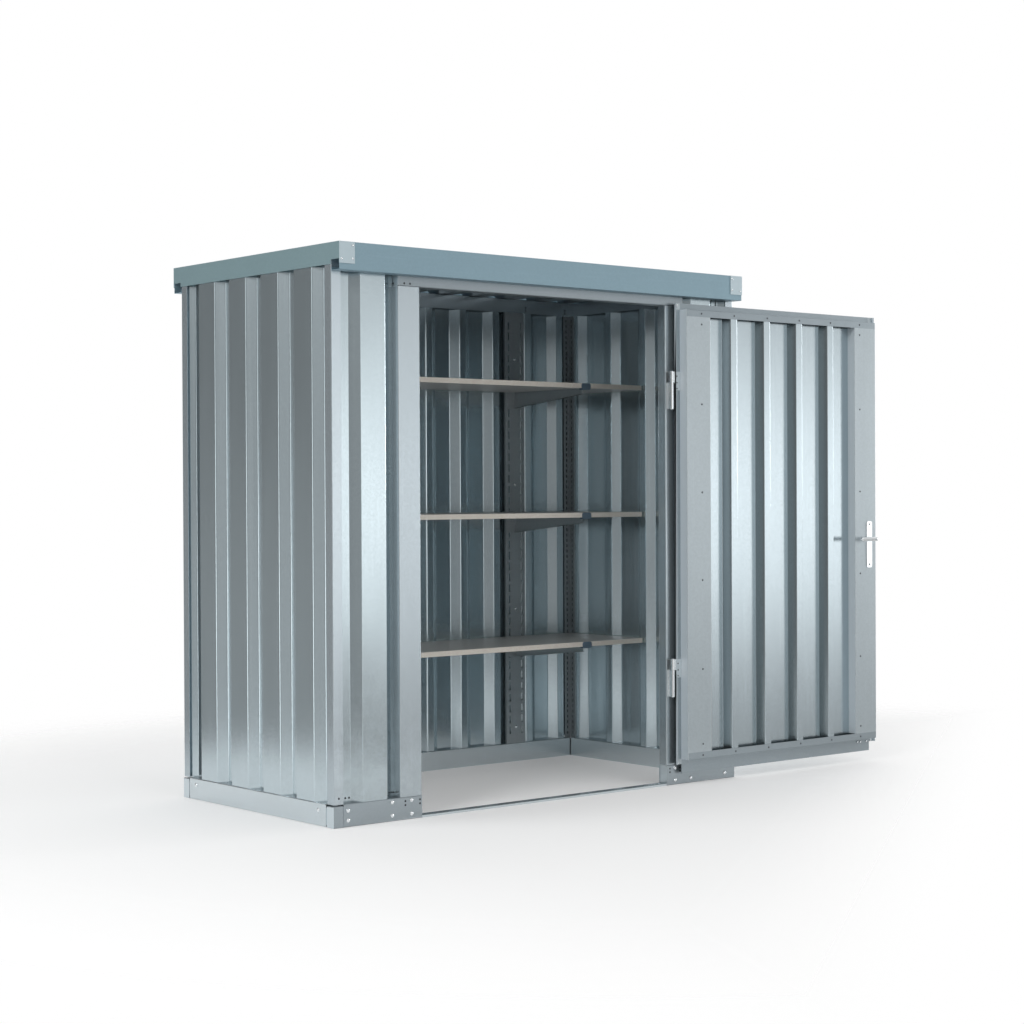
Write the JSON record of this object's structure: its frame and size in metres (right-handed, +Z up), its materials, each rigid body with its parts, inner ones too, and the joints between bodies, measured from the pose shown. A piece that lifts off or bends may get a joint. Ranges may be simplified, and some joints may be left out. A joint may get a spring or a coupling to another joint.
{
  "type": "site storage container",
  "caption": "Small ribbed galvanised steel storage container with a flat framed roof, one hinged door folded back and three shelves inside.",
  "frame": {"origin": "middle of the sill's underside, at ground level in the doorway", "axes": "+X to the right along the front, +Y into the container, +Z up"},
  "size_m": [2.985, 1.2495, 2.155],
  "materials": {
    "galvanised_frame": "bare galvanised, faint spangle",
    "galvanised_wall": "bare galvanised sheet with spangle",
    "galvanised_roof": "bare galvanised sheet with spangle",
    "galvanised_trim": "bare galvanised, dull",
    "galvanised_base": "bare galvanised, dull",
    "galvanised_door": "bare galvanised sheet with spangle",
    "shelf_board": "raw chipboard",
    "dark_plastic": "moulded, dark grey",
    "shelf_steel": "galvanised",
    "zinc_hardware": "bright zinc plated"
  },
  "bodies": {
    "container": {"base_rail_left": "galvanised_base", "base_rail_right": "galvanised_base", "base_rail_back": "galvanised_base", "base_rail_front_left": "galvanised_base", "base_rail_front_right": "galvanised_base", "corner_feet_front": "galvanised_base", "corner_feet_back": "galvanised_base", "sill": "galvanised_base", "corner_post_front_left": "galvanised_frame", "corner_post_front_right": "galvanised_frame", "corner_post_back_left": "galvanised_frame", "corner_post_back_right": "galvanised_frame", "door_post_left": "galvanised_frame", "door_post_right": "galvanised_frame", "lintel": "galvanised_frame", "wall_left": "galvanised_wall", "wall_right": "galvanised_wall", "wall_back": "galvanised_wall", "wall_front_left": "galvanised_wall", "wall_front_right": "galvanised_wall", "top_rail_left": "galvanised_frame", "top_rail_right": "galvanised_frame", "top_rail_front": "galvanised_frame", "top_rail_back": "galvanised_frame", "roof_sheet": "galvanised_roof", "roof_trim_front": "galvanised_trim", "roof_trim_back": "galvanised_trim", "roof_trim_left": "galvanised_trim", "roof_trim_right": "galvanised_trim", "slotted_corner_strips": "shelf_steel", "shelf_upright_left": "shelf_steel", "shelf_upright_right": "shelf_steel", "shelf_lower": "shelf_board", "shelf_middle": "shelf_board", "shelf_upper": "shelf_board", "shelf_brackets_left": "shelf_steel", "shelf_brackets_right": "shelf_steel", "bracket_end_caps": "dark_plastic", "hinge_halves_post": "zinc_hardware"},
    "door": {"door_sheet": "galvanised_door", "door_stile_hinge": "galvanised_door", "door_stile_lock": "galvanised_door", "door_rail_top": "galvanised_door", "door_rail_bottom": "galvanised_door", "hinge_halves_door": "zinc_hardware", "lock_plates": "zinc_hardware"},
    "handle": {"door_handle": "zinc_hardware"}
  },
  "joints": [
    {"name": "door_hinge", "type": "hinge", "parent": "container", "child": "door", "pos_m": [0.655, -0.0495, 0], "axis": [0, 0, 1], "range_deg": [-180, 0]},
    {"name": "handle_turn", "type": "hinge", "parent": "door", "child": "handle", "pos_m": [1.86, -0.0495, 1.015], "axis": [0, -1, 0], "range_deg": [0, 45], "stiffness_Nm_per_rad": 1.5, "springref_deg": -28.65}
  ]
}
